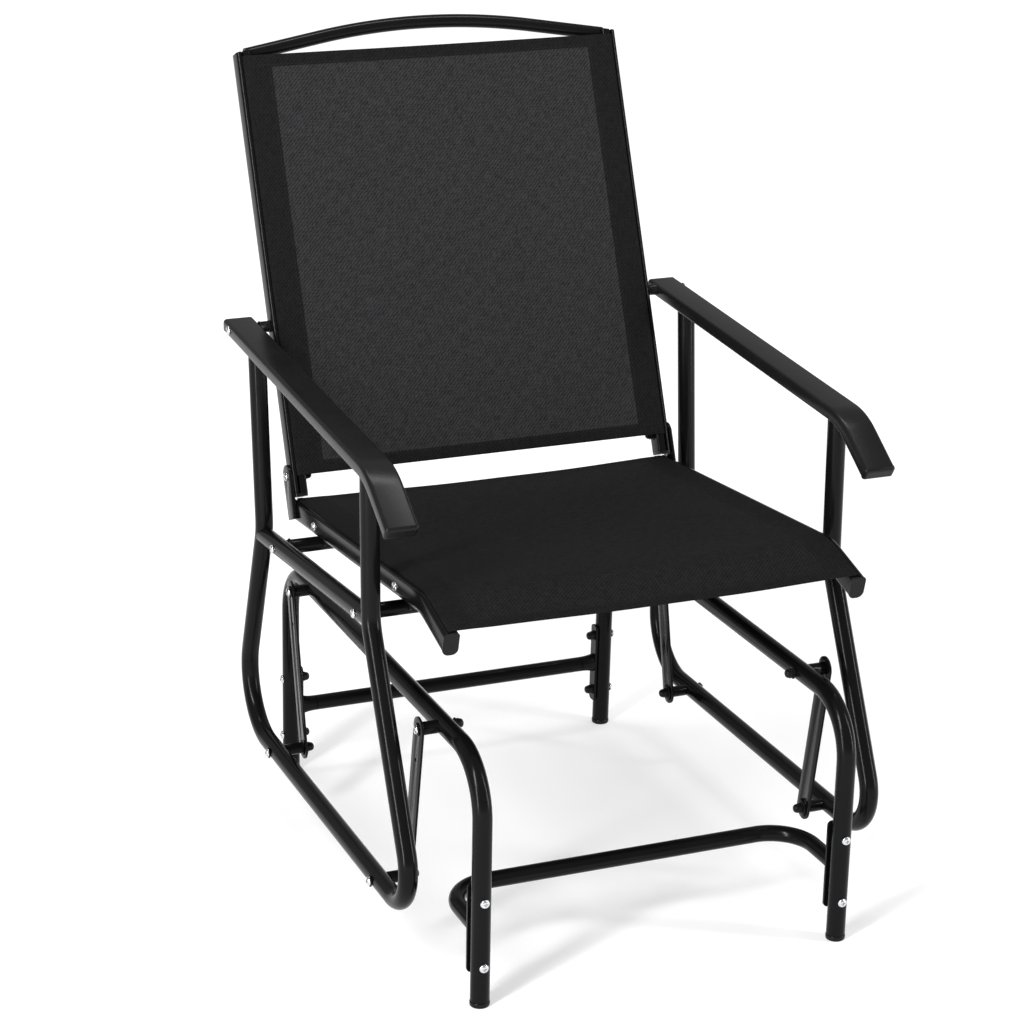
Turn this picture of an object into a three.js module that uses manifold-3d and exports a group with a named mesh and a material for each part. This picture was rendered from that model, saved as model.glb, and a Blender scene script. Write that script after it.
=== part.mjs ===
// Patio glider chair: a bent-tube base, four flat swing links, and a sling seat that hangs from them.
// Millimetres, +Z up, X across the chair, front of the chair towards -Y.
// While the parts are made, Y is measured from the front feet, rearward. The last step centres the chair.
import * as THREE from 'three';
import { mergeVertices } from 'three/addons/utils/BufferGeometryUtils.js';
import Module from 'manifold-3d';

const wasm = await Module();
wasm.setup();

// ---- driving dimensions -------------------------------------------------------------------------
const GAP = 0.3;                       // between touching pieces
const TUBE = 25;                       // main frame tube, outside diameter
const WALL = 1.5;
const BRACE_TUBE = 22;
const CROSS_TUBE = 20;
const BOW_TUBE = 19;
const SPREADER_TUBE = 16;

const BASE_X = 250;                    // middle plane of a base side frame
const BASE_TOP = 330;                  // centre line of its top rail
const FOOT_SPAN = 773;                 // front foot to rear foot
const FRONT_LEAN = 10;                 // how far the front leg's top stands ahead of its foot
const REAR_LEAN = 15;                  // the same for the rear leg
const BASE_BEND = 75;
const FOOT_PAD = 8;                    // height of a foot plug below its tube
const BRACE_HEIGHT = 103;
const BRACE_SETBACK = 127;             // front brace, behind the front feet
const BRACE_BEND = 58;
const BRACE_BOLT_RISE = 45;            // brace bolts, above and below the brace
const BRACE_PLATE = { thick: 3.5, height: 124, corner: 6 };
const BRACE_PLATE_WIDTH = { front: 26, rear: 18 };

const LINK_X = 284.5;                  // middle of the flat links
const LINK = { width: 32, thick: 3, drop: 220, lean: 44, hole: 9, spareHole: 46 };
const PIVOT_MIDDLE = 384;              // the four pivots of a side lie evenly about this
const TOP_PIVOT_SPAN = 523;
const OPEN_PIVOT_PLAY = 3.3;           // extra radius of the lower holes of the front links
const SPACER_D = 17;

const ARM_X = 323;                     // middle plane of an arm frame
const ARM = { width: 43, thick: 18, corner: 5, bend: 100 };
const SIDE_RAIL_FRONT = [190.5, 458.5];
const SIDE_RAIL_REAR = [640.4, 421.2];
const CROSS_TUBE_Y = { front: 221, rear: 564 };

const RAIL_X = 276;                    // middle plane of the seat and back rails
const RAIL = { width: 20, depth: 30, groove: 3, grooveDepth: 7, grooveInset: 7.5, chamber: 13 };
const SEAT_RAIL = [[634, 456.2], [119, 498.9], [34, 475.3]];    // rear end, bend, front end
const SEAT_BEND = 90;
const SEAT_CAP = 10;
const BACK_TILT = THREE.MathUtils.degToRad(21.8);
const BACK_HINGE = [639, 503];         // bolt through hinge plate and back rail
const BACK_RAIL_TOP = 595;             // along the back rail from that bolt
const BACK_RAIL_BOTTOM = -26;
const BACK_SLING_TOP = 586;
const BACK_SLING_BOTTOM = -1;
const ARM_BOLT_UP = 210;
const SPREADER_UP = 22;
const BOW = { endUp: 589, slope: 0.17, bend: 950 };    // straight ends and one wide middle bend
const HINGE_PLATE = { width: 32, thick: 4, down: 60 };
const SLING = { thick: 2, rearInset: 9 };

const BOLT_D = 8;
const HOLE_D = BOLT_D + 2 * GAP;
const HEAD = { diameter: 14, height: 3 };
const NUT_D = 13;

// ---- materials ----------------------------------------------------------------------------------
const finish = (color, roughness, metalness) => (
  new THREE.MeshStandardMaterial({ color, roughness, metalness })
);
const POWDER_COAT = finish(0x1b1b1c, 0.42, 0.35);
const BLACK_PLASTIC = finish(0x232324, 0.5, 0);
const ZINC = finish(0xc9ccd0, 0.3, 1);
const SLING_CLOTH = finish(0x2a2a2b, 0.85, 0);

const chair = new THREE.Group();

function part(name, geometry, material, place = [0, 0, 0], turn = [0, 0, 0]) {
  const mesh = new THREE.Mesh(geometry, material);
  mesh.name = name;
  mesh.position.set(...place);
  mesh.rotation.set(...turn);
  chair.add(mesh);
}

const SIDES = [['left', -1], ['right', 1]];

// ---- solids: join and cut -----------------------------------------------------------------------
function solid(geometry) {
  const bare = geometry.clone();
  bare.deleteAttribute('normal');
  bare.deleteAttribute('uv');
  const merged = mergeVertices(bare, 1e-4);
  const vertProperties = new Float32Array(merged.attributes.position.array);
  const triVerts = new Uint32Array(merged.index.array);
  return new wasm.Manifold(new wasm.Mesh({ numProp: 3, vertProperties, triVerts }));
}

function geometryOf(manifold) {
  const mesh = manifold.getMesh();
  const geometry = new THREE.BufferGeometry();
  geometry.setAttribute('position', new THREE.BufferAttribute(new Float32Array(mesh.vertProperties), 3));
  geometry.setIndex(new THREE.BufferAttribute(new Uint32Array(mesh.triVerts), 1));
  return geometry;
}

function cut(body, ...cutters) {
  return geometryOf(cutters.reduce((rest, cutter) => rest.subtract(solid(cutter)), solid(body)));
}

function join(...pieces) {
  return geometryOf(pieces.map(solid).reduce((sum, piece) => sum.add(piece)));
}

// ---- outlines -----------------------------------------------------------------------------------
function circle(diameter, sides = 12) {
  const points = [];
  for (let i = 0; i < sides; i += 1) {
    const angle = (2 * Math.PI * (i + 0.5)) / sides;
    points.push(new THREE.Vector2(Math.cos(angle), Math.sin(angle)).multiplyScalar(diameter / 2));
  }
  return points;
}

function ring(diameter, wall = WALL, sides = 12) {
  const shape = new THREE.Shape(circle(diameter, sides));
  shape.holes.push(new THREE.Path(circle(diameter - 2 * wall, sides / 2)));
  return shape;
}

function arcPoints(x, y, radius, from, to, steps) {
  const points = [];
  for (let i = 0; i <= steps; i += 1) {
    const angle = from + ((to - from) * i) / steps;
    points.push(new THREE.Vector2(x + radius * Math.cos(angle), y + radius * Math.sin(angle)));
  }
  return points;
}

function roundedBox(width, height, radius, steps = 3) {
  const [x, y] = [width / 2 - radius, height / 2 - radius];
  const quarter = Math.PI / 2;
  return [
    ...arcPoints(x, y, radius, 0, quarter, steps),
    ...arcPoints(-x, y, radius, quarter, 2 * quarter, steps),
    ...arcPoints(-x, -y, radius, 2 * quarter, 3 * quarter, steps),
    ...arcPoints(x, -y, radius, 3 * quarter, 4 * quarter, steps),
  ];
}

// Sling rail section: round below and on the outer side, with a groove in the top for the sling's
// edge. side is +1 where the outer side is towards +X.
function railOutline(side, withGroove) {
  const [w, h] = [RAIL.width / 2, RAIL.depth / 2];
  const [outer, inner] = [9, 3];
  const quarter = Math.PI / 2;
  const lowerInner = 8;
  const points = [
    ...arcPoints(w - outer, -h + outer, outer, -quarter, 0, 3),
    ...arcPoints(w - outer / 2, h - outer / 2, outer / 2, 0, quarter, 2),
  ];
  if (withGroove) {
    const middle = w - RAIL.grooveInset;
    const [near, far] = [middle + RAIL.groove / 2, middle - RAIL.groove / 2];
    const floor = h - RAIL.grooveDepth;
    const corners = [[near, h], [near, floor], [far, floor], [far, h]];
    points.push(...corners.map((p) => new THREE.Vector2(...p)));
  }
  points.push(
    ...arcPoints(-w + inner, h - inner, inner, quarter, 2 * quarter, 1),
    ...arcPoints(-w + lowerInner, -h + lowerInner, lowerInner, 2 * quarter, 3 * quarter, 3),
  );
  return side > 0 ? points : points.map((p) => new THREE.Vector2(-p.x, p.y)).reverse();
}

// The hollow inside a sling rail, below its groove.
function railChamber(shrink = 0) {
  const size = RAIL.chamber - 2 * shrink;
  return roundedBox(size, size, 2, 1).map((p) => new THREE.Vector2(p.x, p.y - 4));
}

function sectionWithChamber(side) {
  const shape = new THREE.Shape(railOutline(side, true));
  shape.holes.push(new THREE.Path(railChamber()));
  return shape;
}

// ---- routes and sweeps --------------------------------------------------------------------------
// A flat route through corner points, each rounded by an arc. Stations lie only where the direction
// changes, so a swept tube has no needless rings. side is the normal of the route's plane.
class Route extends THREE.Curve {
  constructor(corners, radius, side, arcStep = 15) {
    super();
    this.side = new THREE.Vector3(...side);
    this.stations = [];
    const points = corners.map((corner) => new THREE.Vector3(...corner));
    const last = points.length - 1;
    const radii = Array.isArray(radius) ? radius : Array(last).fill(radius);
    this.addStation(points[0], points[1].clone().sub(points[0]));
    for (let i = 1; i < last; i += 1) {
      this.addArc(points[i - 1], points[i], points[i + 1], radii[i - 1], arcStep);
    }
    this.addStation(points[last], points[last].clone().sub(points[last - 1]));
  }

  addStation(point, direction) {
    this.stations.push({ point, tangent: direction.clone().normalize() });
  }

  addArc(before, corner, after, radius, arcStep) {
    const into = corner.clone().sub(before).normalize();
    const out = after.clone().sub(corner).normalize();
    const turn = into.angleTo(out);
    const axis = into.clone().cross(out).normalize();
    const start = corner.clone().addScaledVector(into, -radius * Math.tan(turn / 2));
    const centre = start.clone().addScaledVector(axis.clone().cross(into), radius);
    const steps = Math.max(2, Math.ceil(THREE.MathUtils.radToDeg(turn) / arcStep));
    for (let i = 0; i <= steps; i += 1) {
      const angle = (turn * i) / steps;
      const arm = start.clone().sub(centre).applyAxisAngle(axis, angle);
      this.addStation(centre.clone().add(arm), into.clone().applyAxisAngle(axis, angle));
    }
  }

  get steps() {
    return this.stations.length - 1;
  }

  getPointAt(u, target = new THREE.Vector3()) {
    return target.copy(this.stations[Math.round(u * this.steps)].point);
  }

  getTangentAt(u, target = new THREE.Vector3()) {
    return target.copy(this.stations[Math.round(u * this.steps)].tangent);
  }

  // An outline's x runs along the plane's normal, and its y across the route, in the plane.
  computeFrenetFrames() {
    const tangents = this.stations.map((station) => station.tangent.clone());
    const normals = tangents.map(() => this.side.clone());
    const binormals = tangents.map((tangent) => tangent.clone().cross(this.side).normalize());
    return { tangents, normals, binormals };
  }
}

function sweep(outline, route) {
  const shape = outline instanceof THREE.Shape ? outline : new THREE.Shape(outline);
  return new THREE.ExtrudeGeometry(shape, { steps: route.steps, extrudePath: route });
}

// A route in the plane X = x through [y, z] points.
const sideRoute = (x, points, radius) => new Route(points.map(([y, z]) => [x, y, z]), radius, [1, 0, 0]);
// A straight route along X.
const crossRoute = (x0, x1, y, z) => new Route([[x0, y, z], [x1, y, z]], 0, [0, 0, 1]);

// Plate with its outline drawn in (y, z) and its thickness along X, centred on X = 0.
function plateX(outline, thick) {
  const shape = outline instanceof THREE.Shape ? outline : new THREE.Shape(outline);
  const plate = new THREE.ExtrudeGeometry(shape, { depth: thick, bevelEnabled: false });
  plate.translate(0, 0, -thick / 2);
  plate.rotateX(Math.PI / 2);
  plate.rotateZ(Math.PI / 2);
  return plate;
}

function rodX(diameter, x0, x1, y, z, sides = 8) {
  const rod = new THREE.CylinderGeometry(diameter / 2, diameter / 2, Math.abs(x1 - x0), sides);
  rod.rotateZ(Math.PI / 2);
  return rod.translate((x0 + x1) / 2, y, z);
}

// Bolt with a low domed head and a domed cap nut. The head's top is at x = 0 and the shank runs
// towards -X. grip is the length between head and nut.
function boltWithCapNut(grip, nutLength) {
  const seat = -HEAD.height;
  const nut = seat - grip;
  const profile = [
    [0, nut - nutLength], [NUT_D * 0.3, nut - nutLength * 0.85], [NUT_D / 2, nut - nutLength * 0.5],
    [NUT_D / 2, nut], [BOLT_D / 2, nut], [BOLT_D / 2, seat],
    [HEAD.diameter / 2, seat], [HEAD.diameter * 0.4, seat * 0.3], [0, 0],
  ];
  const bolt = new THREE.LatheGeometry(profile.map((p) => new THREE.Vector2(...p)), 8);
  return bolt.rotateZ(-Math.PI / 2);
}

// Turn that points a part built towards +X outwards on either side of the chair.
const outward = (s) => (s > 0 ? [0, 0, 0] : [0, 0, Math.PI]);

// ---- base ---------------------------------------------------------------------------------------
const legY = {
  front: (z) => -FRONT_LEAN * (z / BASE_TOP),
  rear: (z) => FOOT_SPAN - REAR_LEAN * (z / BASE_TOP),
};
const legTilt = { front: Math.atan2(FRONT_LEAN, BASE_TOP), rear: Math.atan2(REAR_LEAN, BASE_TOP) };
const topPivotY = { front: PIVOT_MIDDLE - TOP_PIVOT_SPAN / 2, rear: PIVOT_MIDDLE + TOP_PIVOT_SPAN / 2 };
const bottomPivotY = { front: topPivotY.front + LINK.lean, rear: topPivotY.rear - LINK.lean };
const bottomPivotZ = BASE_TOP - LINK.drop;
const braceBoltZ = { lower: BRACE_HEIGHT - BRACE_BOLT_RISE, upper: BRACE_HEIGHT + BRACE_BOLT_RISE };
const linkInner = LINK_X - LINK.thick / 2 - GAP;
const linkOuter = LINK_X + LINK.thick / 2 + GAP;

const baseCorners = [
  [legY.front(FOOT_PAD), FOOT_PAD],
  [legY.front(BASE_TOP), BASE_TOP],
  [legY.rear(BASE_TOP), BASE_TOP],
  [legY.rear(FOOT_PAD), FOOT_PAD],
];

// A hole square to the front leg, along Y and tilted with the leg.
function frontLegHole(x, z) {
  const hole = new THREE.CylinderGeometry(HOLE_D / 2, HOLE_D / 2, 2 * TUBE, 8);
  hole.rotateX(legTilt.front);
  return hole.translate(x, legY.front(z), z);
}

function rearLegHole(x, z) {
  return rodX(HOLE_D, x - TUBE, x + TUBE, legY.rear(z), z);
}

// One side of the base: the bent tube with the two bosses that carry the link pivots.
function baseFrame(s) {
  const x = s * BASE_X;
  const bosses = ['front', 'rear'].map((end) => (
    rodX(SPACER_D, x + s * (TUBE / 2 - 2), s * linkInner, topPivotY[end], BASE_TOP, 12)
  ));
  const holes = ['front', 'rear'].map((end) => (
    rodX(HOLE_D, x - 2 * TUBE, x + 2 * TUBE, topPivotY[end], BASE_TOP)
  ));
  for (const z of Object.values(braceBoltZ)) {
    holes.push(frontLegHole(x, z), rearLegHole(x, z));
  }
  return cut(join(sweep(ring(TUBE), sideRoute(x, baseCorners, BASE_BEND)), ...bosses), ...holes);
}

function footPlug() {
  const profile = [
    [0, 0], [11.5, 0], [13, 1.5], [13, FOOT_PAD - 1],
    [8, FOOT_PAD - 1], [8, 22], [6, 24], [0, 24],
  ];
  const plug = new THREE.LatheGeometry(profile.map((p) => new THREE.Vector2(...p)), 12);
  return plug.rotateX(Math.PI / 2);
}

// Upright plate with two bolt holes, its face square to X.
function bracePlate(end) {
  const { height, corner, thick } = BRACE_PLATE;
  return plateX(roundedBox(BRACE_PLATE_WIDTH[end], height, corner, 2), thick);
}

// The front brace is a shallow C behind the front legs, welded to a plate at each end.
function frontBrace() {
  const plateOffset = TUBE / 2 + GAP + BRACE_PLATE.thick / 2;
  const start = legY.front(BRACE_HEIGHT) + plateOffset;
  const corners = [
    [-BASE_X, start, BRACE_HEIGHT],
    [-BASE_X, BRACE_SETBACK, BRACE_HEIGHT],
    [BASE_X, BRACE_SETBACK, BRACE_HEIGHT],
    [BASE_X, start, BRACE_HEIGHT],
  ];
  const route = new Route(corners, BRACE_BEND, [0, 0, 1], 12);
  const plates = SIDES.map(([, s]) => {
    const plate = bracePlate('front').rotateZ(Math.PI / 2).translate(0, plateOffset, 0);
    plate.rotateX(legTilt.front);
    return plate.translate(s * BASE_X, legY.front(BRACE_HEIGHT), BRACE_HEIGHT);
  });
  const holes = SIDES.flatMap(([, s]) => Object.values(braceBoltZ).map((z) => frontLegHole(s * BASE_X, z)));
  const drain = new THREE.CylinderGeometry(2.5, 2.5, BRACE_TUBE, 8);
  drain.rotateX(Math.PI / 2).translate(0, BRACE_SETBACK, BRACE_HEIGHT - BRACE_TUBE / 2);
  return cut(join(sweep(ring(BRACE_TUBE), route), ...plates), drain, ...holes);
}

// The rear brace is straight, between plates on the inner side of the rear legs.
function rearBrace() {
  const plateX0 = BASE_X - TUBE / 2 - GAP - BRACE_PLATE.thick / 2;
  const y = legY.rear(BRACE_HEIGHT);
  const tube = sweep(ring(BRACE_TUBE), crossRoute(-plateX0, plateX0, y, BRACE_HEIGHT));
  const plates = SIDES.map(([, s]) => {
    const plate = bracePlate('rear').rotateX(legTilt.rear);
    return plate.translate(s * plateX0, y, BRACE_HEIGHT);
  });
  const holes = SIDES.flatMap(([, s]) => Object.values(braceBoltZ).map((z) => rearLegHole(s * BASE_X, z)));
  const drain = new THREE.CylinderGeometry(2.5, 2.5, BRACE_TUBE, 8);
  drain.rotateX(Math.PI / 2).translate(0, y, BRACE_HEIGHT - BRACE_TUBE / 2);
  return cut(join(tube, ...plates), drain, ...holes);
}

for (const [side, s] of SIDES) {
  part(`base_frame_${side}`, baseFrame(s), POWDER_COAT);
  for (const end of ['front', 'rear']) {
    part(`foot_plug_${end}_${side}`, footPlug(), BLACK_PLASTIC, [s * BASE_X, legY[end](0), 0]);
  }
}
part('front_brace', frontBrace(), POWDER_COAT);
part('rear_brace', rearBrace(), POWDER_COAT);

const braceGrip = TUBE + BRACE_PLATE.thick + 3 * GAP;
const braceBolt = boltWithCapNut(braceGrip, 10);
for (const [side, s] of SIDES) {
  for (const [level, z] of Object.entries(braceBoltZ)) {
    const reach = TUBE / 2 + GAP + HEAD.height;
    const [c, t] = [Math.cos(legTilt.front), Math.sin(legTilt.front)];
    const front = [s * BASE_X, legY.front(z) - reach * c, z - reach * t];
    const turn = [legTilt.front, 0, -Math.PI / 2];
    part(`front_brace_bolt_${level}_${side}`, braceBolt.clone(), ZINC, front, turn);
    const rear = [s * (BASE_X + reach), legY.rear(z), z];
    part(`rear_brace_bolt_${level}_${side}`, braceBolt.clone(), ZINC, rear, outward(s));
  }
}

// ---- links and their pivots ---------------------------------------------------------------------
const linkLength = Math.hypot(LINK.drop, LINK.lean);
const linkAngle = Math.atan2(LINK.lean, LINK.drop);

function link(lowerHole) {
  const radius = LINK.width / 2;
  const shape = new THREE.Shape([
    ...arcPoints(0, 0, radius, 0, Math.PI, 6),
    ...arcPoints(0, -linkLength, radius, Math.PI, 2 * Math.PI, 6),
  ]);
  const moved = (points, y) => points.map((p) => new THREE.Vector2(p.x, p.y + y));
  shape.holes.push(new THREE.Path(circle(LINK.hole, 12)));
  shape.holes.push(new THREE.Path(moved(circle(5, 6), -LINK.spareHole)));
  shape.holes.push(new THREE.Path(moved(circle(lowerHole, 12), -linkLength)));
  return plateX(shape, LINK.thick);
}

const topGrip = linkOuter - (BASE_X - TUBE / 2 - GAP);
const bottomGrip = ARM_X + TUBE / 2 + GAP - linkInner;
for (const [side, s] of SIDES) {
  for (const end of ['front', 'rear']) {
    const lowerHole = LINK.hole + (end === 'front' ? 2 * OPEN_PIVOT_PLAY : 0);
    const tilt = end === 'front' ? linkAngle : -linkAngle;
    const top = [s * LINK_X, topPivotY[end], BASE_TOP];
    part(`link_${end}_${side}`, link(lowerHole), POWDER_COAT, top, [tilt, 0, 0]);

    const topHead = [s * (linkOuter + HEAD.height), topPivotY[end], BASE_TOP];
    part(`top_pivot_bolt_${end}_${side}`, boltWithCapNut(topGrip, 12), ZINC, topHead, outward(s));

    const [y, z] = [bottomPivotY[end], bottomPivotZ];
    const bottomHead = [s * (ARM_X + TUBE / 2 + GAP + HEAD.height), y, z];
    part(`bottom_pivot_bolt_${end}_${side}`, boltWithCapNut(bottomGrip, 9), ZINC, bottomHead, outward(s));
    const spacer = cut(
      rodX(SPACER_D - 1, s * linkOuter, s * (ARM_X - TUBE / 4), y, z, 12),
      rodX(HOLE_D, s * (linkOuter - 5), s * ARM_X, y, z),
      sweep(circle(TUBE + 2 * GAP), sideRoute(s * ARM_X, [[y - TUBE, z], [y + TUBE, z]], 0)),
    );
    part(`bottom_spacer_${end}_${side}`, spacer, POWDER_COAT);
  }
}

// ---- arm frames ---------------------------------------------------------------------------------
const armPath = [[747, 698.1], [151.5, 660.8], [73, 608.8]];     // middle line of an armrest
const armFrameCorners = [
  [190.5, 653],
  [190.5, 452],
  [23.9, bottomPivotZ],
  [768, bottomPivotZ],
  [640.4, 430],
  [657, 681.3],
];
const armFrameBends = [70, 57, 84, 70];
const alongBack = (up, forward = 0) => [
  BACK_HINGE[0] + up * Math.sin(BACK_TILT) - forward * Math.cos(BACK_TILT),
  BACK_HINGE[1] + up * Math.cos(BACK_TILT) + forward * Math.sin(BACK_TILT),
];
const [armBoltY, armBoltZ] = alongBack(ARM_BOLT_UP);
const armInner = ARM_X - ARM.width / 2;
const railOuter = RAIL_X + RAIL.width / 2;
const railInner = RAIL_X - RAIL.width / 2;

for (const [side, s] of SIDES) {
  const frameRoute = sideRoute(s * ARM_X, armFrameCorners, armFrameBends);
  const pivotHoles = Object.values(bottomPivotY).map((y) => (
    rodX(HOLE_D, s * (ARM_X - TUBE), s * (ARM_X + TUBE), y, bottomPivotZ)
  ));
  part(`arm_frame_${side}`, cut(sweep(ring(TUBE), frameRoute), ...pivotHoles), POWDER_COAT);

  const railRoute = sideRoute(s * ARM_X, [SIDE_RAIL_FRONT, SIDE_RAIL_REAR], 0);
  const cope = sweep(circle(TUBE + 2 * GAP), frameRoute);
  part(`side_rail_${side}`, cut(sweep(ring(TUBE), railRoute), cope), POWDER_COAT);

  const armRoute = sideRoute(s * ARM_X, armPath, ARM.bend);
  const armHole = rodX(HOLE_D, s * (armInner - 5), s * (armInner + ARM.width + 5), armBoltY, armBoltZ);
  const armSection = roundedBox(ARM.width, ARM.thick, ARM.corner);
  part(`armrest_${side}`, cut(sweep(armSection, armRoute), armHole), BLACK_PLASTIC);

  const spacer = cut(
    rodX(16, s * (railOuter + GAP), s * (armInner - GAP), armBoltY, armBoltZ, 12),
    rodX(HOLE_D, s * railInner, s * ARM_X, armBoltY, armBoltZ),
  );
  part(`arm_spacer_${side}`, spacer, BLACK_PLASTIC);
  const armGrip = ARM.width + 2 * GAP + armInner - railInner;
  const armHead = [s * (armInner + ARM.width + GAP + HEAD.height), armBoltY, armBoltZ];
  part(`arm_bolt_${side}`, boltWithCapNut(armGrip, 9), ZINC, armHead, outward(s));
}

// ---- seat ---------------------------------------------------------------------------------------
const heightOn = ([y0, z0], [y1, z1], y) => z0 + ((z1 - z0) * (y - y0)) / (y1 - y0);

// Cross tube between the side rails, with an ear at each end that carries a seat rail.
function seatCrossTube(y) {
  const z = heightOn(SIDE_RAIL_FRONT, SIDE_RAIL_REAR, y);
  const railZ = heightOn(SEAT_RAIL[0], SEAT_RAIL[1], y);
  const ear = { thick: 3, width: 30, low: z - 2, high: railZ + 8 };
  const earX = railInner - GAP - ear.thick / 2;
  const outline = roundedBox(ear.width, ear.high - ear.low, 6, 2);
  const ears = SIDES.map(([, s]) => (
    plateX(outline, ear.thick).translate(s * earX, y, (ear.low + ear.high) / 2)
  ));
  const tube = sweep(ring(CROSS_TUBE), crossRoute(-ARM_X + TUBE / 4, ARM_X - TUBE / 4, y, z));
  const copes = SIDES.map(([, s]) => {
    const sideRail = sideRoute(s * ARM_X, [SIDE_RAIL_FRONT, SIDE_RAIL_REAR], 0);
    return sweep(circle(TUBE + 2 * GAP), sideRail);
  });
  const bore = sweep(circle(CROSS_TUBE - 2 * WALL, 8), crossRoute(-ARM_X, ARM_X, y, z));
  return cut(join(tube, ...ears), bore, ...copes);
}

for (const [end, y] of Object.entries(CROSS_TUBE_Y)) {
  part(`seat_cross_tube_${end}`, seatCrossTube(y), POWDER_COAT);
}

const directionOf = (from, to) => (
  new THREE.Vector2(...to).sub(new THREE.Vector2(...from)).normalize()
);
const seatFrontDirection = directionOf(SEAT_RAIL[1], SEAT_RAIL[2]);
const seatRearDirection = directionOf(SEAT_RAIL[0], SEAT_RAIL[1]);
const beyond = ([y, z], direction, length) => [y + direction.x * length, z + direction.y * length];

for (const [side, s] of SIDES) {
  const x = s * RAIL_X;
  part(`seat_rail_${side}`, sweep(sectionWithChamber(s), sideRoute(x, SEAT_RAIL, SEAT_BEND)), POWDER_COAT);

  const capStart = beyond(SEAT_RAIL[2], seatFrontDirection, GAP);
  const capEnd = beyond(SEAT_RAIL[2], seatFrontDirection, SEAT_CAP);
  const plugEnd = beyond(SEAT_RAIL[2], seatFrontDirection, -15);
  const cap = join(
    sweep(railOutline(s, false), sideRoute(x, [capStart, capEnd], 0)),
    sweep(railChamber(GAP), sideRoute(x, [plugEnd, beyond(capStart, seatFrontDirection, 2)], 0)),
  );
  part(`seat_rail_cap_${side}`, cap, BLACK_PLASTIC);
}

const clothSpan = 2 * (RAIL_X + RAIL.width / 2 - RAIL.grooveInset);
const clothOutline = [[-1, 0], [1, 0], [1, 1], [-1, 1]].map(([across, layer]) => (
  new THREE.Vector2((across * clothSpan) / 2, RAIL.depth / 2 + GAP + layer * SLING.thick)
));
const seatClothRear = beyond(SEAT_RAIL[0], seatRearDirection, SLING.rearInset);
const seatClothRoute = sideRoute(0, [seatClothRear, ...SEAT_RAIL.slice(1)], SEAT_BEND);
part('seat_sling', sweep(clothOutline, seatClothRoute), SLING_CLOTH);

// ---- back ---------------------------------------------------------------------------------------
function hingePlate(s) {
  const [w, down] = [HINGE_PLATE.width / 2, HINGE_PLATE.down];
  const shape = new THREE.Shape([
    ...arcPoints(0, 0, w, 0, Math.PI, 6),
    new THREE.Vector2(-w, -down),
    new THREE.Vector2(w, -down),
  ]);
  shape.holes.push(new THREE.Path(circle(HOLE_D, 8)));
  const plate = plateX(shape, HINGE_PLATE.thick).rotateX(-BACK_TILT);
  return plate.translate(s * (railOuter + GAP + HINGE_PLATE.thick / 2), ...BACK_HINGE);
}

for (const [side, s] of SIDES) {
  part(`hinge_plate_${side}`, hingePlate(s), POWDER_COAT);
  const route = sideRoute(s * RAIL_X, [alongBack(BACK_RAIL_TOP), alongBack(BACK_RAIL_BOTTOM)], 0);
  const holes = [BACK_HINGE, [armBoltY, armBoltZ]].map(([y, z]) => (
    rodX(HOLE_D, s * (RAIL_X - 20), s * (RAIL_X + 20), y, z)
  ));
  part(`back_rail_${side}`, cut(sweep(sectionWithChamber(s), route), ...holes), POWDER_COAT);

  const hingeGrip = HINGE_PLATE.thick + RAIL.width + 3 * GAP;
  const hingeHead = [s * (railOuter + 2 * GAP + HINGE_PLATE.thick + HEAD.height), ...BACK_HINGE];
  part(`hinge_bolt_${side}`, boltWithCapNut(hingeGrip, 9), ZINC, hingeHead, outward(s));
}

// The bow lies in the plane of the back. Its ends are trimmed to the inner faces of the back rails.
function backBow() {
  const half = railInner + 3;
  const low = BOW.endUp + BOW.slope * (RAIL_X - half);
  const high = BOW.endUp + BOW.slope * RAIL_X;
  const corners = [[-half, ...alongBack(low)], [0, ...alongBack(high)], [half, ...alongBack(low)]];
  const normal = [0, -Math.cos(BACK_TILT), Math.sin(BACK_TILT)];
  const trims = SIDES.map(([, s]) => (
    plateX(roundedBox(60, 60, 2, 1), 20).translate(s * (railInner - GAP + 10), ...alongBack(low))
  ));
  return cut(sweep(ring(BOW_TUBE), new Route(corners, BOW.bend, normal, 3)), ...trims);
}
part('back_bow', backBow(), POWDER_COAT);
const spreaderEnd = railInner - GAP;
const spreaderRoute = crossRoute(-spreaderEnd, spreaderEnd, ...alongBack(SPREADER_UP));
part('back_spreader', sweep(ring(SPREADER_TUBE, WALL, 12), spreaderRoute), POWDER_COAT);

const backClothRoute = sideRoute(0, [alongBack(BACK_SLING_TOP), alongBack(BACK_SLING_BOTTOM)], 0);
part('back_sling', sweep(clothOutline, backClothRoute), SLING_CLOTH);

// ---- centre the chair over the origin -----------------------------------------------------------
const box = new THREE.Box3().setFromObject(chair);
chair.position.y = -(box.min.y + box.max.y) / 2;
chair.position.z = -box.min.z;

const group = new THREE.Group();
group.add(chair);

export default group;
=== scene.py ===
"""Patio glider chair: black powder-coated tube, flat swing links, and woven slings."""
import math

import bmesh
import bpy
from mathutils import Matrix, Vector


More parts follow.
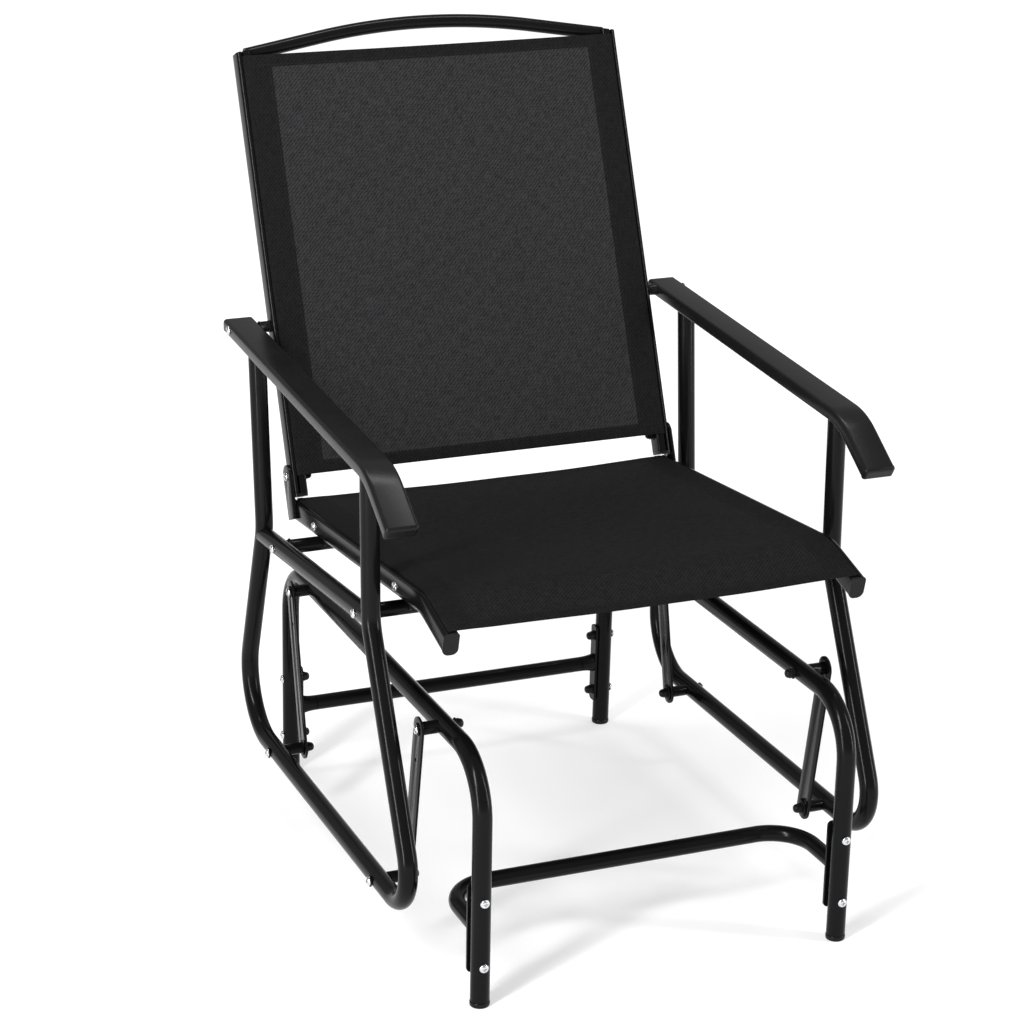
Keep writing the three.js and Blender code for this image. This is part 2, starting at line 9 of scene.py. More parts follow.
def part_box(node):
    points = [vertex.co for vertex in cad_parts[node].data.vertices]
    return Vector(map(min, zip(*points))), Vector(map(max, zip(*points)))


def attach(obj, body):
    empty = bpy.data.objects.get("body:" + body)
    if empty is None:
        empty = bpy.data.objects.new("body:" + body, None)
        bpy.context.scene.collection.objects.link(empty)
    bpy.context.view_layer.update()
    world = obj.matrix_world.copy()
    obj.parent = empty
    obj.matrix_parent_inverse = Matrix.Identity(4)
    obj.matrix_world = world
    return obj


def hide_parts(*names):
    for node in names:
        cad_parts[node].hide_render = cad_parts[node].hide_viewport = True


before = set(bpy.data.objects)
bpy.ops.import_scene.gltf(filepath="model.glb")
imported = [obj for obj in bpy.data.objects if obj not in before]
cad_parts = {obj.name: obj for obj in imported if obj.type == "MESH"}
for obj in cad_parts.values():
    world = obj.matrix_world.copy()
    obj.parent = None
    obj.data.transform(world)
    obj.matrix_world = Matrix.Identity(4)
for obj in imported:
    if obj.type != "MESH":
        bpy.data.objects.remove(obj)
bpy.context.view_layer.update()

X, Y, Z = Vector((1, 0, 0)), Vector((0, 1, 0)), Vector((0, 0, 1))
SIDES = (("left", -1), ("right", 1))
foot_low, foot_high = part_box("foot_plug_front_left")
FEET_Y = (foot_low.y + foot_high.y) / 2


def spot(x, y, z):
    """A place in the chair, in millimetres, with y measured back from the front feet."""
    return Vector((x / 1000, y / 1000 + FEET_Y, z / 1000))


# ---- the chair's own sizes, in millimetres ----
GAP = 0.3
TUBE, BRACE_TUBE, CROSS_TUBE, BOW_TUBE, SPREADER_TUBE = 25, 22, 20, 19, 16
BASE_X, LINK_X, ARM_X, RAIL_X = 250, 284.5, 323, 276
BASE_TOP, BASE_BEND, FOOT_PAD = 330, 75, 8
FOOT_SPAN, FRONT_LEAN, REAR_LEAN = 773, 10, 15
BRACE_HEIGHT, BRACE_SETBACK, BRACE_BEND = 103, 127, 58
BRACE_BOLTS = {"lower": 58, "upper": 148}
BRACE_PLATE_THICK, BRACE_PLATE_HEIGHT, BRACE_PLATE_WIDTH = 3.5, 124, {"front": 26, "rear": 18}
BRACE_FLARE_START = 213.5                    # where the rear brace begins to flatten
EAR_WIDTH, EAR_THICK = 30, 3
ROUND_CORNERS = [6, 6, 6, 6]                 # of brace plates and seat ears
TOP_PIVOTS = {"front": (122.5, 330), "rear": (645.5, 330)}
BOTTOM_PIVOTS = {"front": (166.5, 110), "rear": (601.5, 110)}
LINK_WIDTH, LINK_THICK, LINK_HOLE, SPARE_HOLE, SPARE_HOLE_DROP = 32, 3, 9, 5, 46
OPEN_HOLE = 15.6                             # at the lower, open pivots of the front links
LINK_FACE = LINK_X + LINK_THICK / 2 + 0.4    # the seat of what stands against a link's outer side
ARM_FRAME = [(190.5, 653), (190.5, 452), (23.9, 110), (768, 110), (640.4, 430), (657, 681.3)]
ARM_FRAME_BENDS = [70, 57, 84, 70]
SIDE_RAIL = [(190.5, 458.5), (640.4, 421.2)]
ARMREST = [(747, 698.1), (151.5, 660.8), (73, 608.8)]
ARM_WIDTH, ARM_THICK, ARM_BEND = 43, 18, 100
ARM_CORNERS = [3.5, 3.5, 5, 5]
CROSS_TUBE_Y, CROSS_TUBE_REACH = {"front": 221, "rear": 564}, 316
SIDE_RAIL_SCREWS = {"front": (221, 456), "rear": (564, 427.5)}
SEAT_RAIL_SCREWS = {"front": (205, 491.5), "rear": (532, 464.5)}
RAIL_WIDTH, RAIL_DEPTH = 20, 30
GROOVE_INSET, GROOVE_WIDTH, GROOVE_MIDDLE, GROOVE_CUT = 7.5, 3, 2.5, 9
RAIL_INNER, RAIL_OUTER = RAIL_X - RAIL_WIDTH / 2, RAIL_X + RAIL_WIDTH / 2
SEAT_RAIL = [(634, 456.2), (119, 498.9), (34, 475.3)]
SEAT_BEND = 90
BACK_TILT = math.radians(21.8)
BACK_HINGE = (639, 503)
BACK_RAIL_TOP, BACK_RAIL_BOTTOM, BACK_SLING_TOP, BACK_SLING_BOTTOM = 595, -26, 586, -1
ARM_BOLT_UP, SPREADER_UP = 210, 22
BOW_END_UP, BOW_SLOPE, BOW_BEND, BOW_REACH = 589, 0.17, 950, 270
HINGE_PLATE_WIDTH, HINGE_PLATE_THICK, HINGE_PLATE_DROP, HINGE_HOLE = 32, 4, 60, 8.6
RAIL_CORNERS = {1: [8, 9, 3, 4.5], -1: [9, 8, 4.5, 3]}      # by side, in the order of flat_stock
# From the seat of a bolt's head to the seat of its nut, or to the end of a screw that has no nut.
GRIPS = {"top_pivot": 49.6, "bottom_pivot": 53.1, "brace": 29.1, "side_rail": 12, "seat_rail": 8,
         "armrest": 79.3, "hinge": 24.7}
UP_BACK = Vector((0, math.sin(BACK_TILT), math.cos(BACK_TILT)))
BACK_NORMAL = Vector((0, -math.cos(BACK_TILT), math.sin(BACK_TILT)))


def leg_y(end, z):
    """How far back a base leg stands at height z."""
    return -FRONT_LEAN * z / BASE_TOP if end == "front" else FOOT_SPAN - REAR_LEAN * z / BASE_TOP


def up_the_back(up, forward=0):
    """A point (y, z) so far up the back from its hinge bolt, and so far in front of it."""
    sine, cosine = math.sin(BACK_TILT), math.cos(BACK_TILT)
    return BACK_HINGE[0] + up * sine - forward * cosine, BACK_HINGE[1] + up * cosine + forward * sine


def height_on(rail, y):
    """The height of a straight rail's middle line, so far back."""
    (y0, z0), (y1, z1) = rail[:2]
    return z0 + (y - y0) / (y1 - y0) * (z1 - z0)


# ---- finishes ----
class Wire:
    """One socket of a finish. Arithmetic on it adds the Math nodes."""

    def __init__(self, finish, socket):
        self.finish, self.socket = finish, socket

    def apply(self, operation, *others):
        """A Math node with this socket as its first value, and the others after it."""
        values = dict(enumerate((self, *others)))
        return self.finish.node("Math", {"operation": operation}, values)

    def __add__(self, other):
        return self.apply("ADD", other)

    def __sub__(self, other):
        return self.apply("SUBTRACT", other)

    def __mul__(self, other):
        return self.apply("MULTIPLY", other)

    def __rsub__(self, other):
        return self.finish.node("Math", {"operation": "SUBTRACT"}, {0: other, 1: self})

    __radd__ = __add__


class Finish:
    """A procedural material built on one Principled shader."""

    def __init__(self, name, **constants):
        self.material = bpy.data.materials.new(name)
        self.material.use_nodes = True
        self.tree = self.material.node_tree
        self.shader = self.tree.nodes["Principled BSDF"]
        for socket, value in constants.items():
            self.shader.inputs[socket.replace("_", " ")].default_value = value

    def plug(self, socket, value):
        if isinstance(value, Wire):
            self.tree.links.new(value.socket, socket)
        else:
            socket.default_value = value

    def node(self, kind, settings=None, sockets=None, out=0):
        """Adds a node, applies its settings, then fills its sockets. Returns one of its outputs."""
        made = self.tree.nodes.new("ShaderNode" + kind)
        for key, value in (settings or {}).items():
            setattr(made, key, value)
        for key, value in (sockets or {}).items():
            self.plug(made.inputs[key], value)
        return Wire(self, made.outputs[out])

    def noise(self, place, scale, detail=2, roughness=0.5):
        sockets = {"Vector": place, "Scale": scale, "Detail": detail, "Roughness": roughness}
        return self.node("TexNoise", {}, sockets)

    def step(self, value, low, high):
        """0 below low, 1 above high, and smooth between them."""
        sockets = {"Value": value, "From Min": low, "From Max": high}
        return self.node("MapRange", {"interpolation_type": "SMOOTHSTEP"}, sockets)

    def blend(self, share, first, second):
        sockets = {0: share, 6: first, 7: second}
        return self.node("Mix", {"data_type": "RGBA"}, sockets, out=2)

    def colour(self, value):
        self.plug(self.shader.inputs["Base Color"], value)

    def roughness(self, value):
        self.plug(self.shader.inputs["Roughness"], value)

    def relief(self, height, depth, strength=1.0):
        bump = self.node("Bump", {}, {"Strength": strength, "Distance": depth, "Height": height})
        self.plug(self.shader.inputs["Normal"], bump)


def powder_coat():
    finish = Finish("black powder coat", Specular_IOR_Level=0.1)
    place = finish.node("TexCoord", out=3)
    patches, orange_peel = finish.noise(place, 14, 3), finish.noise(place, 620, 1)
    specks = finish.noise(place, 1900, 0)
    finish.colour(finish.blend(patches, (0.0028, 0.0028, 0.0031, 1), (0.0052, 0.0052, 0.0056, 1)))
    finish.roughness(0.12 + patches * 0.08 + orange_peel * 0.04)
    finish.relief(orange_peel + specks * 0.3, 0.00004, 0.25)
    return finish.material


def moulded_plastic():
    finish = Finish("black moulded plastic", Specular_IOR_Level=0.13)
    place = finish.node("TexCoord", out=3)
    grain = finish.node("TexVoronoi", {"feature": "SMOOTH_F1"}, {"Vector": place, "Scale": 1300})
    cloud = finish.noise(place, 22, 3)
    finish.colour(finish.blend(cloud, (0.0055, 0.0055, 0.006, 1), (0.0085, 0.0085, 0.009, 1)))
    finish.roughness(0.22 + cloud * 0.1)
    finish.relief(grain, 0.00003, 0.3)
    return finish.material


def zinc_plate():
    finish = Finish("bright zinc", Metallic=1.0)
    place = finish.node("TexCoord", out=3)
    cloud, scuffs = finish.noise(place, 260, 3), finish.noise(place, 1500, 2)
    finish.colour(finish.blend(cloud, (0.55, 0.56, 0.59, 1), (0.76, 0.76, 0.78, 1)))
    finish.roughness(0.12 + scuffs * 0.12)
    finish.relief(scuffs, 0.00003, 0.4)
    return finish.material


YARN, STITCH = 0.0014, 0.0035


def sling_weave(name, hems, dark, bright):
    """Woven mesh of coated yarn in a 2/2 twill. hems is (half the width, side hem) and then
    (start, end, end hem), in metres. dark and bright are the levels between which its yarns run."""
    finish = Finish(name, Specular_IOR_Level=0.05)
    place = finish.node("UVMap", {"uv_map": "cloth"})
    parts = finish.node("SeparateXYZ", {}, {"Vector": place})
    across, along = parts, Wire(finish, parts.socket.node.outputs[1])

    def ridge(value):
        return value.apply("SINE").apply("ABSOLUTE")

    def streaks(wide, long):
        """Yarns that run lighter and darker in short lengths."""
        stretched = finish.node("CombineXYZ", {}, {"X": across * wide, "Y": along * long, "Z": 0.0})
        return finish.step(finish.noise(stretched, 1, 2, 0.6), 0.38, 0.62)

    weft, warp = ridge(across * (math.pi / YARN)), ridge(along * (math.pi / YARN))
    twill = ((across + along) * (math.pi / (2 * YARN))).apply("SINE") * 0.5 + 0.5
    cloud, fleck = finish.noise(place, 9, 3), finish.noise(place, 420, 2, 0.7)
    over_under = finish.step(twill, 0.3, 0.7)
    thread = weft * over_under + warp * (1 - over_under)
    heather = streaks(460, 60) * 0.5 + streaks(60, 460) * 0.5

    (half, side_hem), (low, high, end_hem) = hems
    from_side = half - across.apply("ABSOLUTE")
    from_end = (along - low).apply("MINIMUM", high - along)
    doubled = (1 - finish.step(from_side, side_hem - 0.0008, side_hem)).apply(
        "MAXIMUM", 1 - finish.step(from_end, end_hem - 0.0008, end_hem))
    stitch_side = (from_side - (side_hem - 0.004)).apply("ABSOLUTE")
    stitch_end = (from_end - (end_hem - 0.003)).apply("ABSOLUTE")
    near_line = 1 - finish.step(stitch_side.apply("MINIMUM", stitch_end), 0.0004, 0.0009)
    dashes = finish.step(((across + along) * (math.pi / STITCH)).apply("SINE"), -0.5, 0.1)
    stitches = near_line * dashes

    # The yarn ridges (thread) and the twill lines in this mix are painted shade between the yarns and painted
    # highlight on their crowns; heather, fleck and cloud are the yarns' own tone.
    light = thread * 0.15 + twill * 0.35 + heather * 0.35 + fleck * 0.1 + cloud * 0.05
    single = finish.blend(light, (dark, dark, dark * 1.06, 1), (bright, bright, bright * 1.04, 1))
    double = finish.blend(light, (0.0012, 0.0012, 0.0013, 1), (0.0125, 0.0125, 0.0132, 1))
    cloth = finish.blend(doubled, single, double)
    finish.colour(finish.blend(stitches * 0.4, cloth, (0.016, 0.016, 0.017, 1)))
    finish.roughness(0.68 + fleck * 0.2)
    finish.relief(thread + twill * 0.5 + stitches * 0.6 + doubled * 0.6, 0.0003, 0.6)
    return finish.material


COAT, PLASTIC, ZINC = powder_coat(), moulded_plastic(), zinc_plate()


# ---- the bench: what every piece is made with ----
def object_mode():
    """Leaves edit mode with nothing selected."""
    if bpy.context.object and bpy.context.object.mode != "OBJECT":
        bpy.ops.object.mode_set(mode="OBJECT")
    bpy.ops.object.select_all(action="DESELECT")


def take(piece):
    """Makes a piece the only one selected."""
    object_mode()
    piece.select_set(True)
    bpy.context.view_layer.objects.active = piece


def begin(name):
    """Names the new primitive and opens it for editing."""
    piece = bpy.context.object
    piece.name = piece.data.name = name
    bpy.ops.object.mode_set(mode="EDIT")
    bpy.ops.mesh.select_mode(type="FACE")
    bpy.ops.mesh.select_all(action="SELECT")
    return piece


def pick(piece, kind, wanted):
    """Selects only the faces, edges or corners whose middle passes the test."""
    bpy.ops.mesh.select_mode(type=kind)
    bpy.ops.mesh.select_all(action="DESELECT")
    form = bmesh.from_edit_mesh(piece.data)
    to_scene = piece.matrix_world
    for item in {"FACE": form.faces, "EDGE": form.edges, "VERT": form.verts}[kind]:
        if kind == "VERT":
            middle = item.co
        else:
            middle = sum((v.co for v in item.verts), Vector()) / len(item.verts)
        if wanted(to_scene @ middle, item):
            item.select_set(True)
    form.select_flush_mode()
    bmesh.update_edit_mesh(piece.data)


def close_up(piece, angle=35):
    """Leaves edit mode with the place in the mesh, outward faces and smooth shading."""
    take(piece)
    bpy.ops.object.transform_apply(location=True, rotation=True, scale=True)
    bpy.ops.object.mode_set(mode="EDIT")
    bpy.ops.mesh.select_all(action="SELECT")
    bpy.ops.mesh.remove_doubles(threshold=0.00001)
    bpy.ops.mesh.normals_make_consistent(inside=False)
    bpy.ops.object.mode_set(mode="OBJECT")
    bpy.ops.object.shade_smooth_by_angle(angle=math.radians(angle))
    return piece


def fit(piece, material, body, *nodes):
    """Gives a finished piece its material and its place on the chair."""
    piece.data.materials.clear()
    piece.data.materials.append(material)
    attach(piece, body)
    if nodes:
        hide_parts(*nodes)
    return piece


def apply_modifier(piece, kind, **settings):
    take(piece)
    modifier = piece.modifiers.new(kind.title(), kind)
    for key, value in settings.items():
        setattr(modifier, key, value)
    bpy.ops.object.modifier_apply(modifier=modifier.name)


def carve(piece, cutter, operation="DIFFERENCE"):
    apply_modifier(piece, "BOOLEAN", object=cutter, operation=operation, solver="EXACT")
    bpy.data.objects.remove(cutter)


def pick_ends(piece, tips, reach):
    """Opens a piece and selects each end face whose middle is within reach of a tip, in metres."""
    take(piece)
    bpy.ops.object.mode_set(mode="EDIT")
    pick(piece, "FACE", lambda middle, face: (
        len(face.verts) > 8 and min((middle - tip).length for tip in tips) < reach))


def facing(side, along):
    """The turn that lays a flat primitive across a route, with its x along side."""
    return Matrix((side, along.cross(side), along)).transposed().to_euler()


def draw_along(points, bends, step=5):
    """Pulls the selected face along a route, straight and round each bend. step is in degrees."""
    here = points[0]
    for before, corner, after, radius in zip(points, points[1:], points[2:], bends):
        into, out = (corner - before).normalized(), (after - corner).normalized()
        turn, radius = into.angle(out), radius / 1000
        start = corner - into * radius * math.tan(turn / 2)
        axis = into.cross(out).normalized()
        bpy.ops.mesh.extrude_region_move(TRANSFORM_OT_translate={"value": start - here})
        steps = max(2, round(math.degrees(turn) / step))
        bpy.ops.mesh.spin(steps=steps, angle=-turn, center=start + axis.cross(into) * radius, axis=axis)
        here = corner + out * radius * math.tan(turn / 2)
    bpy.ops.mesh.extrude_region_move(TRANSFORM_OT_translate={"value": points[-1] - here})


def tube(name, points, bends=(), diameter=TUBE, side=X, step=5):
    """A bent round tube with closed ends."""
    object_mode()
    turn = facing(side, (points[1] - points[0]).normalized())
    bpy.ops.mesh.primitive_circle_add(
        vertices=28, radius=diameter / 2000, fill_type="NGON", location=points[0], rotation=turn)
    piece = begin(name)
    draw_along(points, bends, step)
    return close_up(piece)


def flat_stock(name, points, width, height, corner_sizes, bends=(), side=X):
    """A bar drawn from a flat face of width by height. corner_sizes rounds its corners in turn:
    inner lower, outer lower, inner upper and outer upper, where outer is towards side."""
    object_mode()
    along = (points[1] - points[0]).normalized()
    bpy.ops.mesh.primitive_plane_add(size=1, location=points[0], rotation=facing(side, along))
    piece = begin(name)
    up = along.cross(side)
    piece.scale = (width / 1000, height / 1000, 1)
    bpy.context.view_layer.update()
    bpy.ops.object.mode_set(mode="OBJECT")
    bpy.ops.object.transform_apply(location=False, rotation=False, scale=True)
    bpy.ops.object.mode_set(mode="EDIT")
    quarters = [(-1, -1), (1, -1), (-1, 1), (1, 1)]
    for (right, top), size in zip(quarters, corner_sizes):
        if size:
            corner = points[0] + side * (right * width / 2000) + up * (top * height / 2000)
            pick(piece, "VERT", lambda middle, _: (middle - corner).length < 0.0004)
            bpy.ops.mesh.bevel(offset=size / 1000, segments=max(3, int(size)), affect="VERTICES")
    bpy.ops.mesh.select_mode(type="FACE")
    bpy.ops.mesh.select_all(action="SELECT")
    draw_along(points, bends)
    return close_up(piece)


def turned(name, where, outward, rings, sides=24):
    """A round piece built up ring by ring. Each ring is (radius, height above where)."""
    object_mode()
    (radius, height), *rest = rings
    bpy.ops.mesh.primitive_circle_add(
        vertices=sides, radius=radius / 1000, fill_type="NGON",
        location=where + outward * (height / 1000), rotation=outward.to_track_quat("Z", "Y").to_euler())
    piece = begin(name)
    for wider, higher in rest:
        rise = outward * ((higher - height) / 1000)
        bpy.ops.mesh.extrude_region_move(TRANSFORM_OT_translate={"value": rise})
        if wider != radius:
            top = where + outward * (higher / 1000)
            bpy.ops.transform.resize(value=(wider / radius,) * 3, center_override=top)
        radius, height = wider, higher
    return close_up(piece, 40)


def copy_to(piece, name, where, outward):
    """A copy of a piece made at the origin pointing up, set at a place and turned outwards."""
    copied = piece.copy()
    copied.data = piece.data.copy()
    copied.name = copied.data.name = name
    bpy.context.scene.collection.objects.link(copied)
    turn = outward.to_track_quat("Z", "Y").to_matrix().to_4x4()
    copied.data.transform(Matrix.Translation(where) @ turn)
    return copied


def cross_cutter(height, size):
    """The cross that a screwdriver fits, as two crossed bars about a height above the origin."""
    bars = []
    for turn in (0, math.pi / 2):
        object_mode()
        bpy.ops.mesh.primitive_cube_add(size=1, location=(0, 0, height / 1000), rotation=(0, 0, turn))
        bar = begin("driver cross")
        bpy.ops.object.mode_set(mode="OBJECT")
        bar.scale = (size / 1000, size / 4000, 0.004)
        bpy.ops.object.transform_apply(location=True, rotation=True, scale=True)
        bars.append(bar)
    carve(bars[0], bars[1], "UNION")
    return bars[0]


def screw(name, shank):
    """A button-head bolt standing at the origin, its seat at height 0."""
    rings = [(3.9, -shank), (3.9, 0), (5.8, 0), (6.1, 0.4), (6.0, 1.2), (5.4, 2.2), (4.2, 3.0), (2.4, 3.4)]
    made = turned(name, Vector(), Z, rings)
    carve(made, cross_cutter(3.9, 5.4))
    return close_up(made, 40)


def cap_nut(name):
    """A domed nut seated at height 0, with a flange."""
    hexagon = turned(name, Vector(), Z, [(6.9, 0), (7.4, 0.5), (7.4, 4.8), (6.7, 5.4)], sides=6)
    dome_rings = [(6.0, 3), (6.0, 7), (5.5, 8.8), (4.3, 10.2), (2.4, 11.1), (0.8, 11.3)]
    carve(hexagon, turned("nut dome", Vector(), Z, dome_rings), "UNION")
    flange = turned("nut flange", Vector(), Z, [(7.9, 0), (8.1, 0.3), (8.1, 0.9), (7.8, 1.1)])
    carve(hexagon, flange, "UNION")
    return close_up(hexagon, 40)


NUT = cap_nut("nut pattern")
WASHER_THICK = 1.6
screws = {}


def washer(name, where, outward, radius, body):
    """A black flat washer with softened edges."""
    rings = [(radius - 0.4, 0), (radius, 0.3), (radius, WASHER_THICK - 0.4), (radius - 0.5, WASHER_THICK)]
    fit(turned(name, where, outward, rings, 28), COAT, body)


def fasten(name, where, outward, grip, body, *nodes, nut=True, under_head=0, under_nut=0):
    """A bolt with its head's seat at where, and its cap nut, if it has one, at the far end of the grip.
    under_head and under_nut are the radii of black washers, or 0 for none."""
    lift = WASHER_THICK if under_head else 0
    if under_head:
        washer(f"{name}_washer", where, outward, under_head, body)
    key = round(grip + lift, 2)
    if key not in screws:
        screws[key] = screw(f"screw pattern {len(screws)}", key)
    fit(copy_to(screws[key], name, where + outward * (lift / 1000), outward), ZINC, body, *nodes)
    seat = where - outward * (grip / 1000)
    if under_nut:
        washer(f"{name}_nut_washer", seat, -outward, under_nut, body)
        seat -= outward * (WASHER_THICK / 1000)
    if nut:
        fit(copy_to(NUT, f"{name}_nut", seat, -outward), PLASTIC, body)


# ---- base ----
for side, s in SIDES:
    outward = X * s
    corners = [(leg_y("front", FOOT_PAD), FOOT_PAD), (leg_y("front", BASE_TOP), BASE_TOP),
               (leg_y("rear", BASE_TOP), BASE_TOP), (leg_y("rear", FOOT_PAD), FOOT_PAD)]
    legs = tube(f"base_tube_{side}", [spot(s * BASE_X, y, z) for y, z in corners], [BASE_BEND] * 2)
    fit(legs, COAT, "base", f"base_frame_{side}")
    for end, (y, z) in TOP_PIVOTS.items():
        boss_rings = [(8.6, 0), (8.6, 24.8), (8.2, 25.3)]
        boss = turned(f"pivot_boss_{end}_{side}", spot(s * (BASE_X + 7), y, z), outward, boss_rings, 28)
        fit(boss, COAT, "base")
        head = spot(s * LINK_FACE, y, z)
        fasten(f"top_pivot_{end}_{side}", head, outward, GRIPS["top_pivot"], "base",
               f"top_pivot_bolt_{end}_{side}", under_head=8.4)
    sole_rings = [(10.6, 0), (11.6, 0.15), (12.6, 0.9), (13, 2), (13, 6.2), (12.6, 6.9), (9, 7.1), (9, 22)]
    for end in ("front", "rear"):
        sole = turned(f"foot_{end}_{side}", spot(s * BASE_X, leg_y(end, 0), 0), Z, sole_rings, 32)
        fit(sole, PLASTIC, "base", f"foot_plug_{end}_{side}")

plate_gap = TUBE / 2 + GAP
leg_up = {}
for end, lean in (("front", FRONT_LEAN), ("rear", REAR_LEAN)):
    angle = math.atan2(lean, BASE_TOP)
    leg_up[end] = Vector((0, -math.sin(angle), math.cos(angle)))
into_plate = 1.8
brace_start = leg_y("front", BRACE_HEIGHT) + plate_gap + into_plate
brace = tube("front_brace_tube", [
    spot(-BASE_X, brace_start, BRACE_HEIGHT), spot(-BASE_X, BRACE_SETBACK, BRACE_HEIGHT),
    spot(BASE_X, BRACE_SETBACK, BRACE_HEIGHT), spot(BASE_X, brace_start, BRACE_HEIGHT),
], [BRACE_BEND] * 2, BRACE_TUBE, side=Z)
fit(brace, COAT, "base", "front_brace")
rear_y = leg_y("rear", BRACE_HEIGHT)
rear_ends = [spot(s * BRACE_FLARE_START, rear_y, BRACE_HEIGHT) for _, s in SIDES]
rear_bar = tube("rear_brace_tube", rear_ends, (), BRACE_TUBE, side=Z)
fit(rear_bar, COAT, "base", "rear_brace")


def flattened_end(side, s):
    """The last stretch of the rear brace, which widens upwards and narrows sideways to meet its plate."""
    start = spot(s * BRACE_FLARE_START, rear_y, BRACE_HEIGHT)
    radius = BRACE_TUBE / 2
    rings = [(radius, -2), (radius, 0), (11.4, 7), (12.4, 13), (13.8, 18), (15, 21.8)]
    end = turned(f"rear_brace_end_{side}", start, X * s, rings, 28)
    bpy.ops.object.mode_set(mode="EDIT")
    squeezes = (0.96, 0.84, 0.70, 0.58)
    for (_, reach), squeeze in zip(rings[2:], squeezes):
        pick(end, "VERT", lambda middle, _: abs(abs(middle.x) * 1000 - BRACE_FLARE_START - reach) < 0.5)
        bpy.ops.transform.resize(value=(1, squeeze, 1), center_override=start)
    fit(close_up(end), COAT, "base")


WELD_BEAD, WELD_SQUASH = 1.7, 0.25


def weld_bead(name, where, along, radius, body):
    """The rounded bead where a tube is welded on, a little flattened along the tube."""
    object_mode()
    bpy.ops.mesh.primitive_torus_add(
        major_radius=radius / 1000, minor_radius=WELD_BEAD / 1000, major_segments=40, minor_segments=8,
        location=where, rotation=along.to_track_quat("Z", "Y").to_euler())
    bead = begin(name)
    squash = tuple(1 - WELD_SQUASH * abs(share) for share in along)
    bpy.ops.transform.resize(value=squash, center_override=where)
    fit(close_up(bead, 60), COAT, body)


for side, s in SIDES:
    outward = X * s
    thick = BRACE_PLATE_THICK / 1000
    back = leg_up["front"].cross(X).normalized()
    middle = spot(s * BASE_X, leg_y("front", BRACE_HEIGHT), BRACE_HEIGHT) + back * (plate_gap / 1000)
    plate = flat_stock(f"front_brace_plate_{side}", [middle, middle + back * thick],
                       BRACE_PLATE_WIDTH["front"], BRACE_PLATE_HEIGHT, ROUND_CORNERS, side=X)
    fit(plate, COAT, "base")
    weld_bead(f"front_brace_weld_{side}", middle + back * (thick + 0.0002), Y, BRACE_TUBE / 2, "base")
    middle = spot(s * (BASE_X - plate_gap), rear_y, BRACE_HEIGHT)
    plate = flat_stock(f"rear_brace_plate_{side}", [middle, middle - outward * thick],
                       BRACE_PLATE_WIDTH["rear"], BRACE_PLATE_HEIGHT, ROUND_CORNERS,
                       side=(leg_up["rear"].cross(outward) * -1).normalized())
    fit(plate, COAT, "base")
    flattened_end(side, s)
    head_seat, grip = TUBE / 2 + 0.2, GRIPS["brace"]
    for level, z in BRACE_BOLTS.items():
        seat = spot(s * BASE_X, leg_y("front", z), z) - back * (head_seat / 1000)
        fasten(f"front_brace_{level}_{side}", seat, -back, grip, "base", f"front_brace_bolt_{level}_{side}")
        seat = spot(s * (BASE_X + head_seat), leg_y("rear", z), z)
        fasten(f"rear_brace_{level}_{side}", seat, outward, grip, "base", f"rear_brace_bolt_{level}_{side}")


# ---- swing links ----
def flat_bar(name, top, bottom, thick, width, round_ends, holes, body, node):
    """A flat steel bar square to X, with bored holes, between two points. round_ends is 2 for both ends
    rounded, or 1 for the top end only."""
    along = (bottom - top).normalized()
    radius = width / 2000
    first = top - along * radius
    last = bottom + along * (radius if round_ends == 2 else 0)
    object_mode()
    bpy.ops.mesh.primitive_cube_add(size=1, location=(first + last) / 2, rotation=facing(X, along))
    bar = begin(name)
    bpy.ops.object.mode_set(mode="OBJECT")
    bar.scale = (thick / 1000, width / 1000, (last - first).length)
    bpy.ops.object.transform_apply(location=True, rotation=True, scale=True)
    bpy.ops.object.mode_set(mode="EDIT")
    round_tips = [first, last][:round_ends]

    def end_corner(middle, edge):
        """True for an edge that runs through the bar's thickness at a round end."""
        a, b = (v.co for v in edge.verts)
        near_end = min((middle - tip).length for tip in round_tips) < 1.2 * radius
        return near_end and abs((a - b).normalized().x) > 0.9

    pick(bar, "EDGE", end_corner)
    bpy.ops.mesh.bevel(offset=radius * 0.998, segments=14, affect="EDGES")
    bpy.ops.object.mode_set(mode="OBJECT")
    for place, diameter in holes:
        drill = turned("drill", place - X * 0.01, X, [(diameter / 2, 0), (diameter / 2, 20)], 28)
        carve(bar, drill)
    apply_modifier(bar, "BEVEL", width=0.0005, segments=2, limit_method="ANGLE", angle_limit=math.radians(40))
    fit(close_up(bar, 32), COAT, body, node)


for side, s in SIDES:
    for end in ("front", "rear"):
        top, bottom = (spot(s * LINK_X, *pivots[end]) for pivots in (TOP_PIVOTS, BOTTOM_PIVOTS))
        along = (bottom - top).normalized()
        lower_hole = OPEN_HOLE if end == "front" else LINK_HOLE
        holes = [(top, LINK_HOLE), (bottom, lower_hole), (top + along * (SPARE_HOLE_DROP / 1000), SPARE_HOLE)]
        link = f"link_{end}_{side}"
        flat_bar(f"swing_{link}", top, bottom, LINK_THICK, LINK_WIDTH, 2, holes, link, link)
        y, z = BOTTOM_PIVOTS[end]
        spacer_rings = [(10.4, 0), (10.7, 0.4), (10.7, 1.6), (8.0, 2.0), (8.0, 26), (7.4, 29)]
        spacer = turned(f"link_spacer_{end}_{side}", spot(s * LINK_FACE, y, z), X * s, spacer_rings, 28)
        fit(spacer, COAT, "glider", f"bottom_spacer_{end}_{side}")
        head = spot(s * (ARM_X + TUBE / 2 + 0.1), y, z)
        fasten(f"bottom_pivot_{end}_{side}", head, X * s, GRIPS["bottom_pivot"], "glider",
               f"bottom_pivot_bolt_{end}_{side}", under_head=8, under_nut=12)

